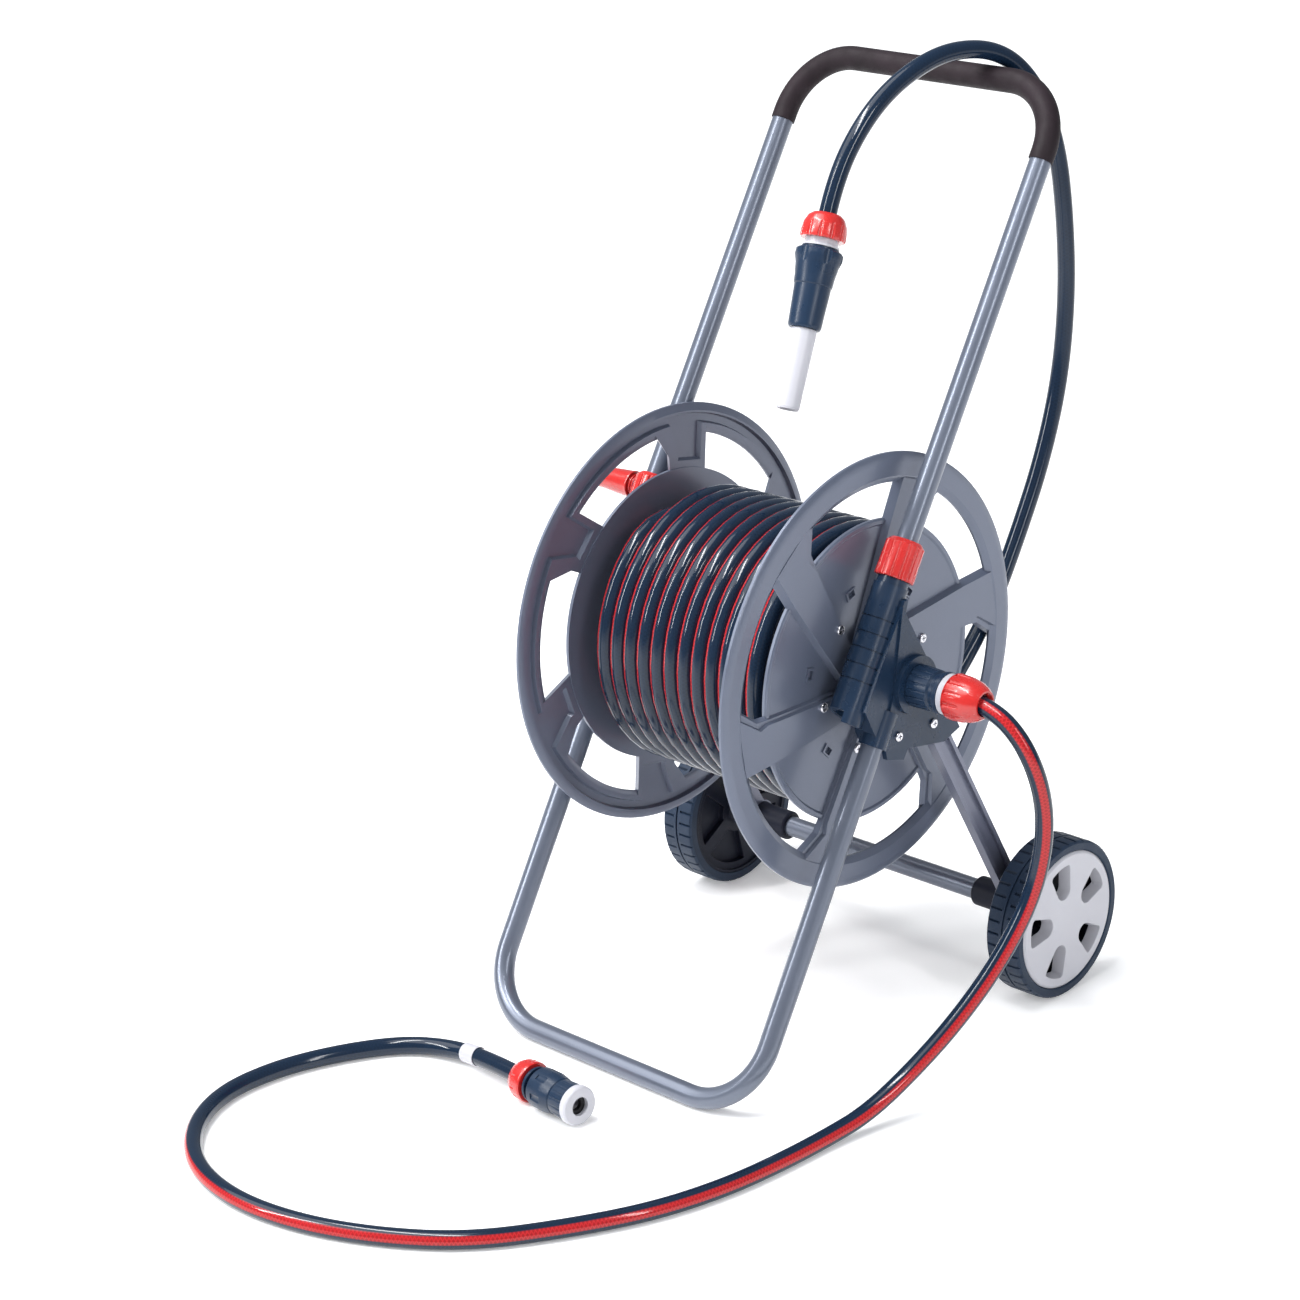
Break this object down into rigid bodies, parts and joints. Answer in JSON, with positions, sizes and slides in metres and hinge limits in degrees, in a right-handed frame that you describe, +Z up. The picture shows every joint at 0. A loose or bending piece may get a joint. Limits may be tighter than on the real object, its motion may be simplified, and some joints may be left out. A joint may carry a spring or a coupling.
{
  "type": "garden hose reel cart",
  "caption": "Two-wheeled garden hose cart: tubular frame, cranked reel wound with hose, sliding U handle, water inlet and spray nozzle.",
  "frame": {"origin": "on the ground under the middle of the cart, measured without its hoses", "axes": "+Z up, +X to the water inlet side along the reel axis, -Y to the foot bar and +Y to the wheels and the handle's grip"},
  "size_m": [0.5652, 0.9205, 0.876],
  "materials": {
    "steel_tube_grey": "satin silver-grey powder coat",
    "strut_grey": "satin silver-grey powder coat",
    "reel_grey": "semi-gloss metallic-grey moulded plastic",
    "drum_grey": "moulded plastic",
    "navy_plastic": "satin navy moulded plastic",
    "navy_tread": "matt navy tread",
    "dark_plastic": "matt black moulded plastic",
    "red_plastic": "semi-gloss red moulded plastic",
    "white_plastic": "semi-gloss white moulded plastic",
    "grip_foam": "matt black foam sleeve",
    "hose_navy": "glossy dark navy hose with a red stripe",
    "screw_steel": "zinc-plated steel",
    "seal_rubber": "matt black rubber"
  },
  "bodies": {
    "cart_frame": {"frame_tube": "steel_tube_grey", "bracket_right": "navy_plastic", "bracket_left": "navy_plastic", "strut_right": "strut_grey", "strut_left": "strut_grey", "bracket_screws": "screw_steel", "axle_tube": "steel_tube_grey", "axle_rod": "screw_steel", "axle_collar_right": "dark_plastic", "axle_collar_left": "dark_plastic", "axle_bush_right": "dark_plastic", "axle_bush_left": "dark_plastic", "clamp_collet_right": "white_plastic", "clamp_collet_left": "white_plastic", "wheel_clip_right": "screw_steel", "wheel_clip_left": "screw_steel", "inlet_connector": "navy_plastic", "inlet_ring": "white_plastic", "inlet_nut": "red_plastic", "supply_hose": "hose_navy", "hose_band": "white_plastic", "tap_nut": "red_plastic", "tap_core": "navy_plastic", "tap_rib_ring": "navy_plastic", "tail_hose": "hose_navy"},
    "reel": {"flange_right": "reel_grey", "flange_left": "reel_grey", "drum": "drum_grey", "flange_screws": "screw_steel", "water_journal": "navy_plastic", "water_pipe": "navy_plastic", "crank_shaft": "navy_plastic", "crank_arm": "navy_plastic", "crank_cap": "navy_plastic", "crank_pin": "screw_steel", "wound_hose": "hose_navy"},
    "crank_knob": {"crank_grip": "red_plastic"},
    "handle": {"handle_tube": "steel_tube_grey", "handle_sleeve": "grip_foam", "nozzle_nut": "red_plastic", "nozzle_core": "white_plastic"},
    "nozzle_twist": {"nozzle_sleeve": "navy_plastic"},
    "clamp_right": {"clamp_nut_right": "red_plastic"},
    "clamp_left": {"clamp_nut_left": "red_plastic"},
    "wheel_right": {"tyre_right": "navy_tread", "wheel_rim_right": "dark_plastic", "wheel_cap_right": "white_plastic"},
    "wheel_left": {"tyre_left": "navy_tread", "wheel_rim_left": "dark_plastic", "wheel_cap_left": "white_plastic"},
    "tap_collar": {"tap_sleeve": "navy_plastic"},
    "tap_swivel": {"tap_adapter": "white_plastic", "tap_seal": "seal_rubber"}
  },
  "joints": [
    {"name": "reel_spin", "type": "hinge", "parent": "cart_frame", "child": "reel", "pos_m": [0, -0.0105, 0.3527], "axis": [1, 0, 0], "continuous": true},
    {"name": "crank_knob_spin", "type": "hinge", "parent": "reel", "child": "crank_knob", "pos_m": [-0.22, 0.02627, 0.45372], "axis": [1, 0, 0], "continuous": true},
    {"name": "handle_slide", "type": "slide", "parent": "cart_frame", "child": "handle", "axis": [0, 0.527, 0.8499], "range_m": [-0.15, 0]},
    {"name": "clamp_right_turn", "type": "hinge", "parent": "cart_frame", "child": "clamp_right", "pos_m": [0.151, -0.00125, 0.46149], "axis": [0, 0.527, 0.8499], "range_deg": [0, 150]},
    {"name": "clamp_left_turn", "type": "hinge", "parent": "cart_frame", "child": "clamp_left", "pos_m": [-0.151, -0.00125, 0.46149], "axis": [0, 0.527, 0.8499], "range_deg": [0, 150]},
    {"name": "nozzle_sleeve_turn", "type": "hinge", "parent": "handle", "child": "nozzle_twist", "pos_m": [0.03751, 0.01603, 0.68105], "axis": [0.1017, -0.4449, -0.8898], "range_deg": [0, 300]},
    {"name": "wheel_right_spin", "type": "hinge", "parent": "cart_frame", "child": "wheel_right", "pos_m": [0.2, 0.1539, 0.077], "axis": [1, 0, 0], "continuous": true},
    {"name": "wheel_left_spin", "type": "hinge", "parent": "cart_frame", "child": "wheel_left", "pos_m": [-0.2, 0.1539, 0.077], "axis": [1, 0, 0], "continuous": true},
    {"name": "tap_collar_slide", "type": "slide", "parent": "cart_frame", "child": "tap_collar", "axis": [0.9938, -0.1075, 0.0284], "range_m": [-0.0035, 0]},
    {"name": "tap_adapter_swivel", "type": "hinge", "parent": "cart_frame", "child": "tap_swivel", "pos_m": [0.04157, -0.32512, 0.02039], "axis": [0.9938, -0.1075, 0.0284], "continuous": true}
  ]
}
